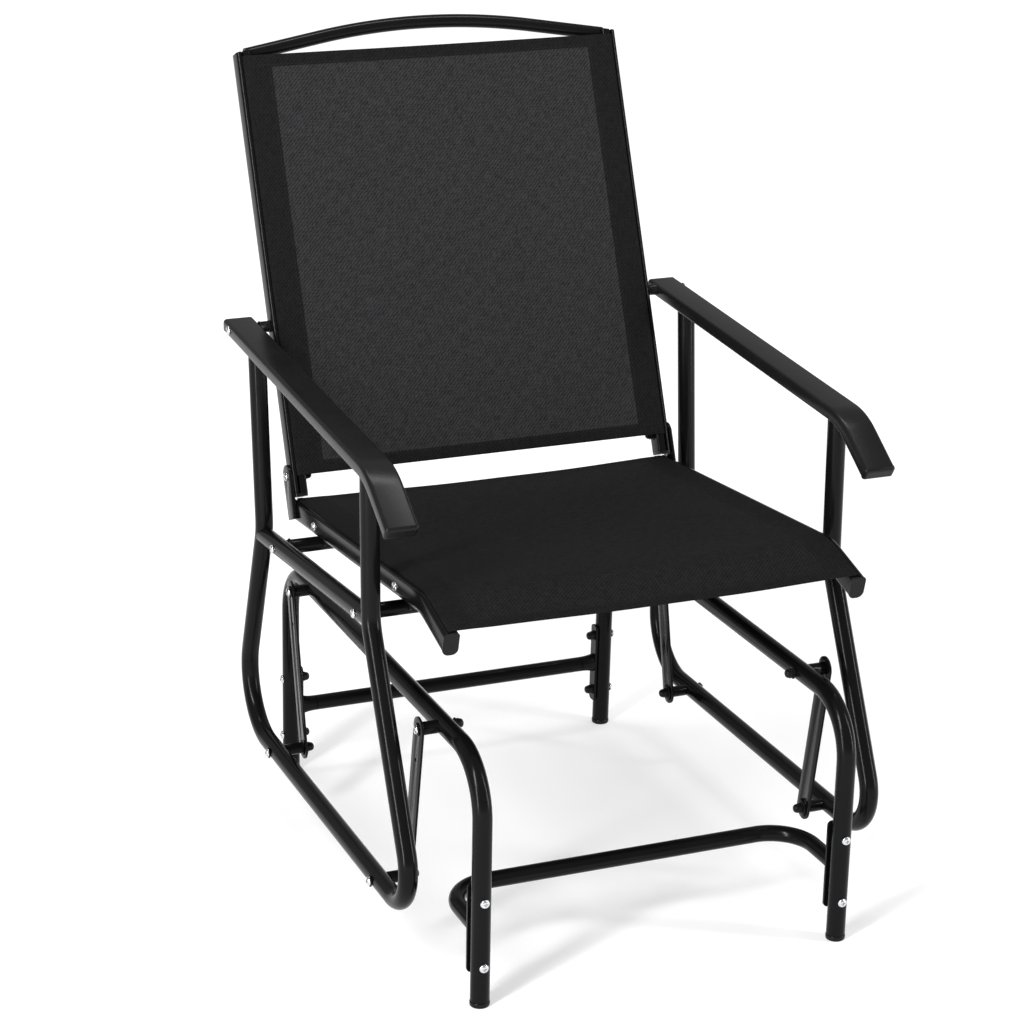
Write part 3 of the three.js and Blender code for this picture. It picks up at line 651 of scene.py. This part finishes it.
# ---- arm frames and seat frame ----
armrest_y, armrest_z = up_the_back(ARM_BOLT_UP)
for side, s in SIDES:
    outward = X * s
    frame_tube = tube(f"arm_tube_{side}", [spot(s * ARM_X, y, z) for y, z in ARM_FRAME], ARM_FRAME_BENDS)
    fit(frame_tube, COAT, "glider", f"arm_frame_{side}")
    rail = tube(f"side_rail_tube_{side}", [spot(s * ARM_X, y, z) for y, z in SIDE_RAIL])
    fit(rail, COAT, "glider", f"side_rail_{side}")
    for where, (y, z) in SIDE_RAIL_SCREWS.items():
        head = spot(s * (ARM_X + TUBE / 2), y, z)
        fasten(f"side_rail_{where}_{side}", head, outward, GRIPS["side_rail"], "glider", nut=False)
    for where, (y, z) in SEAT_RAIL_SCREWS.items():
        head = spot(s * (RAIL_OUTER - 0.3), y, z)
        fasten(f"seat_rail_{where}_{side}", head, outward, GRIPS["seat_rail"], "glider", nut=False)

    rear, bend, front = (spot(s * ARM_X, y, z) for y, z in ARMREST)
    rest = flat_stock(f"armrest_body_{side}", [rear, bend, front],
                      ARM_WIDTH, ARM_THICK, ARM_CORNERS, [ARM_BEND])
    pick_ends(rest, [rear, front], 0.006)
    bpy.ops.mesh.bevel(offset=0.0036, segments=4, affect="EDGES")
    fit(close_up(rest, 45), PLASTIC, "glider", f"armrest_{side}")
    ahead = (front - bend).normalized()
    proud, depth = 0.0004, 0.0058
    tip = front + ahead * proud
    cap = flat_stock(f"armrest_end_cap_{side}", [tip - ahead * depth, tip],
                     ARM_WIDTH + 0.7, ARM_THICK + 0.7, ARM_CORNERS)
    pick_ends(cap, [tip], 0.003)
    bpy.ops.mesh.bevel(offset=0.0042, segments=5, affect="EDGES")
    fit(close_up(cap, 45), PLASTIC, "glider")
    spacer_rings = [(8.4, 0), (8.4, 1.5), (7.8, 2.2), (7.8, 13), (8.4, 13.8), (8.4, 15.2)]
    spacer = turned(f"armrest_spacer_{side}", spot(s * (RAIL_OUTER + GAP), armrest_y, armrest_z), outward,
                    spacer_rings, 28)
    fit(spacer, PLASTIC, "glider", f"arm_spacer_{side}")
    head = spot(s * (ARM_X + ARM_WIDTH / 2 + GAP), armrest_y, armrest_z)
    fasten(f"armrest_bolt_{side}", head, outward, GRIPS["armrest"], "glider", f"arm_bolt_{side}")

for end, y in CROSS_TUBE_Y.items():
    z = height_on(SIDE_RAIL, y)
    cross_ends = [spot(s * CROSS_TUBE_REACH, y, z) for _, s in SIDES]
    cross = tube(f"cross_tube_{end}", cross_ends, (), CROSS_TUBE, side=Z)
    fit(cross, COAT, "glider", f"seat_cross_tube_{end}")
    ear_low, ear_high = z - 2, height_on(SEAT_RAIL, y) + 8
    for side, s in SIDES:
        middle = spot(s * (RAIL_INNER - EAR_THICK / 2 - GAP), y, (ear_low + ear_high) / 2)
        half = X * (EAR_THICK / 2000)
        ear = flat_stock(f"seat_ear_{end}_{side}", [middle + half, middle - half],
                         EAR_WIDTH, ear_high - ear_low, ROUND_CORNERS, side=Y)
        fit(ear, COAT, "glider")
        where = spot(s * (ARM_X - TUBE / 2 - 0.1), y, z)
        weld_bead(f"cross_weld_{end}_{side}", where, X, CROSS_TUBE / 2 + 0.2, "glider")


# ---- sling rails ----
def sling_rail(name, points, bends, s, node):
    """A drawn rail, round below, with a groove in its top that grips the sling's edge."""
    rail = flat_stock(name, points, RAIL_WIDTH, RAIL_DEPTH, RAIL_CORNERS[s], bends)
    first, last = (points[1] - points[0]).normalized(), (points[-1] - points[-2]).normalized()
    up = first.cross(X)
    rise, overrun = (RAIL_DEPTH / 2 - GROOVE_MIDDLE) / 1000, 0.004
    shift = X * (s * (RAIL_WIDTH / 2 - GROOVE_INSET) / 1000) + up * rise
    line = [p + shift for p in points]
    line[0], line[-1] = line[0] - first * overrun, line[-1] + last * overrun
    if len(points) > 2:
        turn = first.angle(last)
        normal = (up + last.cross(X)).normalized() / math.cos(turn / 2)
        line[1] = points[1] + X * shift.x + normal * rise
        line[2] = points[2] + X * shift.x + last.cross(X) * rise + last * overrun
        bends = [b + rise * 1000 for b in bends]
    groove = flat_stock("groove cutter", line, GROOVE_WIDTH, GROOVE_CUT, [1, 1, 0, 0], bends)
    carve(rail, groove)
    return fit(close_up(rail, 32), COAT, "glider", node)


def slope_top(rail, s):
    """Cuts a back rail's top end to the slope of the bow."""
    fall = (UP_BACK + X * (s * BOW_SLOPE)).normalized()
    top = spot(s * RAIL_INNER, *up_the_back(BACK_RAIL_TOP))
    object_mode()
    size = 0.06
    bpy.ops.mesh.primitive_cube_add(
        size=size, location=top + fall * (size / 2), rotation=facing(BACK_NORMAL, fall))
    block = begin("rail top cutter")
    carve(rail, close_up(block))
    close_up(rail, 32)


def rail_end_cap(side, s):
    """The plug in a seat rail's front end: a thin flange with a smaller rounded nose."""
    flange, step_in, nose = 0.0024, 0.0009, 0.0072
    end, before = spot(s * RAIL_X, *SEAT_RAIL[2]), spot(s * RAIL_X, *SEAT_RAIL[1])
    ahead = (end - before).normalized()
    tip = end + ahead * flange
    cap = flat_stock(f"rail_end_cap_{side}", [end + ahead * 0.0002, tip],
                     RAIL_WIDTH + 0.8, RAIL_DEPTH + 0.8, RAIL_CORNERS[s])
    pick_ends(cap, [tip], 0.002)
    bpy.ops.mesh.inset(thickness=step_in)
    bpy.ops.mesh.extrude_region_move(TRANSFORM_OT_translate={"value": ahead * nose})
    bpy.ops.mesh.bevel(offset=0.003, segments=5, affect="EDGES")
    fit(close_up(cap, 40), PLASTIC, "glider", f"seat_rail_cap_{side}")


for side, s in SIDES:
    x = s * RAIL_X
    seat_points = [spot(x, y, z) for y, z in SEAT_RAIL]
    sling_rail(f"seat_side_rail_{side}", seat_points, [SEAT_BEND], s, f"seat_rail_{side}")
    back_points = [spot(x, *up_the_back(up)) for up in (BACK_RAIL_TOP, BACK_RAIL_BOTTOM)]
    upright = sling_rail(f"back_side_rail_{side}", back_points, [], s, f"back_rail_{side}")
    slope_top(upright, s)
    rail_end_cap(side, s)
    foot = back_points[1]
    plug = flat_stock(f"back_rail_cap_{side}", [foot - UP_BACK * 0.0001, foot - UP_BACK * 0.004],
                      RAIL_WIDTH - 0.4, RAIL_DEPTH - 0.4, RAIL_CORNERS[s])
    fit(plug, PLASTIC, "glider")

    hinge = spot(s * (RAIL_OUTER + HINGE_PLATE_THICK / 2 + GAP), *BACK_HINGE)
    below = hinge - UP_BACK * (HINGE_PLATE_DROP / 1000)
    flat_bar(f"back_hinge_plate_{side}", hinge, below, HINGE_PLATE_THICK, HINGE_PLATE_WIDTH, 1,
             [(hinge, HINGE_HOLE)], "glider", f"hinge_plate_{side}")
    head = spot(s * (RAIL_OUTER + HINGE_PLATE_THICK + 0.4), *BACK_HINGE)
    fasten(f"back_hinge_{side}", head, X * s, GRIPS["hinge"], "glider", f"hinge_bolt_{side}")

spreader_ends = [spot(s * RAIL_INNER, *up_the_back(SPREADER_UP)) for _, s in SIDES]
spread = tube("back_spreader_tube", spreader_ends, (), SPREADER_TUBE, side=Z)
fit(spread, COAT, "glider", "back_spreader")

# The bow has straight ends and one wide bend, and its ends run into the back rails.
bow_points = [spot(x, *up_the_back(BOW_END_UP + BOW_SLOPE * (RAIL_X - abs(x))))
              for x in (-BOW_REACH, 0, BOW_REACH)]
bow = tube("back_bow_tube", bow_points, [BOW_BEND], BOW_TUBE, side=BACK_NORMAL, step=0.8)
fit(bow, COAT, "glider", "back_bow")


# ---- slings ----
SIDE_HEM, END_HEM, TUCK = 0.040, 0.018, 0.0055
CLOTH_EDGE = (RAIL_OUTER - GROOVE_INSET) / 1000


def cloth_sheet(name, line, sag, material, node):
    """A stretched sheet. line is its length and a function that gives the point and the outward normal
    at a distance along it, in metres."""
    length, place_at = line
    end_hem, edge = END_HEM, CLOTH_EDGE
    inner, rim_height = edge - 0.0125, 0.0009
    rim = [(edge, -TUCK), (edge, -0.0030), (edge - 0.0001, -0.0008), (edge - 0.0006, 0.0004),
           (edge - 0.0016, 0.0009), (edge - 0.004, 0.0010), (edge - 0.0085, 0.0010), (inner, rim_height)]
    hem_line = edge - SIDE_HEM
    strips, courses = 14, 44
    flats = [hem_line + 0.0006, hem_line - 0.0004]
    flats += [hem_line * (1 - i / strips) for i in range(1, strips + 1)]
    across = rim + [(x, None) for x in sorted(flats, reverse=True)]
    ends = [0, 0.0015, end_hem - 0.0005, end_hem + 0.0005]
    middle = [end_hem + (length - 2 * end_hem) * i / courses for i in range(1, courses)]
    rows = ends + middle + [length - e for e in reversed(ends)]
    columns = [(-x, h) for x, h in across] + [(x, h) for x, h in reversed(across[:-1])]
    object_mode()
    bpy.ops.mesh.primitive_grid_add(x_subdivisions=len(columns) - 1, y_subdivisions=len(rows) - 1, size=1)
    sheet = begin(name)
    bpy.ops.object.mode_set(mode="OBJECT")
    wide = len(columns)
    uv = sheet.data.uv_layers.active or sheet.data.uv_layers.new()
    uv.name = "cloth"
    flat = []
    for index, vertex in enumerate(sheet.data.vertices):
        x, height = columns[index % wide]
        distance = rows[index // wide]
        share = distance / length
        if height is None:
            pull = 1 - (abs(x) / inner) ** 2
            height = rim_height - sag * pull * (0.55 + 0.45 * math.sin(math.pi * share))
            height -= 0.0006 * math.exp(-((abs(x) - inner) / 0.01) ** 2)
            if abs(x) > hem_line:
                height += 0.0004
        if distance < end_hem or distance > length - end_hem:
            height += 0.0005
        away_from_rim = max(0, 1 - (abs(x) / inner) ** 4)
        wave = 0.0007 * math.sin(19 * share + 7 * x) * math.sin(23 * x + 2) * away_from_rim
        point, normal = place_at(distance)
        vertex.co = point + X * x + normal * (height + wave)
        flat.append((x, distance))
    for loop in sheet.data.loops:
        uv.data[loop.index].uv = flat[loop.vertex_index]
    apply_modifier(sheet, "SOLIDIFY", thickness=0.0011, offset=0)
    apply_modifier(sheet, "SUBSURF", levels=1, render_levels=1)
    take(sheet)
    bpy.ops.object.mode_set(mode="EDIT")
    bpy.ops.mesh.select_all(action="SELECT")
    bpy.ops.mesh.normals_make_consistent(inside=False)
    bpy.ops.object.mode_set(mode="OBJECT")
    bpy.ops.object.shade_smooth_by_angle(angle=math.radians(50))
    fit(sheet, material, "glider", node)
    width = 2 * (edge + TUCK)


def along_rail(corners, bend, inset):
    """Measures out the top of a rail in its plane: straight, one bend, straight. inset is what is left
    free at the two ends."""
    top = RAIL_DEPTH / 2000
    first, corner, last = (spot(0, *c) for c in corners)
    into, out = (corner - first).normalized(), (last - corner).normalized()
    turn, radius = into.angle(out), bend / 1000
    setback = radius * math.tan(turn / 2)
    straight = (corner - first).length - setback
    axis = into.cross(out).normalized()
    start = corner - into * setback
    centre = start + axis.cross(into) * radius
    arc = (radius + top) * turn
    ahead = (last - corner).length - setback
    length = straight + arc + ahead - inset[0] - inset[1]

    def place_at(distance):
        distance += inset[0]
        if distance <= straight:
            return first + into * distance + into.cross(X) * top, into.cross(X)
        if distance <= straight + arc:
            angle = (distance - straight) / (radius + top)
            swing = Matrix.Rotation(angle, 3, axis)
            normal = swing @ (start - centre).normalized()
            return centre + normal * (radius + top), normal
        past_corner = setback + distance - straight - arc
        return corner + out * past_corner + out.cross(X) * top, out.cross(X)

    return length, place_at


def along_back():
    """Measures down the top of the back rails, which are straight."""
    start, end = (spot(0, *up_the_back(up)) for up in (BACK_SLING_TOP, BACK_SLING_BOTTOM))
    down = (end - start).normalized()
    normal = down.cross(X)
    surface = start + normal * (RAIL_DEPTH / 2000)
    return (end - start).length, lambda distance: (surface + down * distance, normal)


def sling(place, line, sag, dark, bright):
    """The seat's or the back's sling, on its two rails."""
    hems = ((CLOTH_EDGE, SIDE_HEM), (0, line[0], END_HEM))
    cloth = sling_weave(f"{place} sling weave", hems, dark, bright)
    cloth_sheet(f"{place}_cloth", line, sag, cloth, f"{place}_sling")


# Seat and back are one cloth; the back is given lighter levels than the seat, a lit and a shaded copy of it:
# painted light.
sling("seat", along_rail(SEAT_RAIL, SEAT_BEND, (0.009, 0.003)), 0.007, 0.0001, 0.017)
sling("back", along_back(), 0.006, 0.0006, 0.036)

for pattern in [NUT, *screws.values()]:
    bpy.data.objects.remove(pattern)

# ---- floor, lights and camera ----
object_mode()
bpy.ops.mesh.primitive_plane_add(size=60, location=(0, 0, 0))
floor = bpy.context.object
floor.name = "studio_floor"
# The floor glows, more strongly away from the chair: painted light that makes the far floor white and
# lightens the shadows near the chair.
paper = Finish("pale studio floor", Roughness=0.9, Specular_IOR_Level=0.1, Emission_Strength=1.0)
place = paper.node("TexCoord", out=3)
far = paper.step(paper.node("VectorMath", {"operation": "LENGTH"}, {0: place}, out=1), 0.5, 3.0)
painted_floor_glow = paper.blend(far, (0.46, 0.46, 0.46, 1), (0.8, 0.8, 0.8, 1))
paper.plug(paper.shader.inputs["Emission Color"], painted_floor_glow)
paper.colour(paper.blend(paper.noise(place, 0.6, 2), (0.60, 0.60, 0.60, 1), (0.63, 0.63, 0.63, 1)))
floor.data.materials.append(paper.material)

world = bpy.data.worlds.new("studio")
bpy.context.scene.world = world
world.use_nodes = True
sky = world.node_tree.nodes["Background"]
sky.inputs["Color"].default_value = (1, 1, 1, 1)
sky.inputs["Strength"].default_value = 0.4


def softbox(name, place, target, size, power):
    """A rectangular lamp, size[0] by size[1], that faces a target."""
    lamp = bpy.data.lights.new(name, "AREA")
    lamp.shape, lamp.size, lamp.size_y, lamp.energy = "RECTANGLE", size[0], size[1], power
    holder = bpy.data.objects.new(name, lamp)
    bpy.context.scene.collection.objects.link(holder)
    holder.location = place
    holder.rotation_euler = (Vector(place) - Vector(target)).to_track_quat("Z", "Y").to_euler()


softbox("key softbox", (-2.6, -2.0, 2.9), (0, 0, 0.5), (0.4, 2.0), 70)
softbox("left strip light", (-2.5, -1.7, 1.5), (0, 0, 1.1), (0.25, 2.9), 90)
softbox("right strip light", (2.6, -1.9, 1.5), (0, 0, 1.1), (0.25, 2.9), 60)
softbox("top softbox", (0.2, 0.5, 3.4), (0, 0, 0.4), (2.4, 0.4), 45)

azimuth, elevation, roll = math.radians(-21.95), math.radians(18.89), math.radians(0.39)
level = Vector((math.cos(azimuth), math.sin(azimuth), 0))
ahead = Z.cross(level) * math.cos(elevation) - Z * math.sin(elevation)
upright = level.cross(ahead)
right = level * math.cos(roll) + upright * math.sin(roll)
up = upright * math.cos(roll) - level * math.sin(roll)
camera = bpy.data.objects.new("camera", bpy.data.cameras.new("camera"))
bpy.context.scene.collection.objects.link(camera)
camera.data.lens, camera.data.sensor_width = 100.77, 36
stance = Matrix((right, up, -ahead)).transposed().to_4x4()
camera.matrix_world = Matrix.Translation(spot(-1409, -2973, 1743)) @ stance
bpy.context.scene.camera = camera
bpy.context.scene.view_settings.view_transform = "Standard"

bpy.context.view_layer.update()
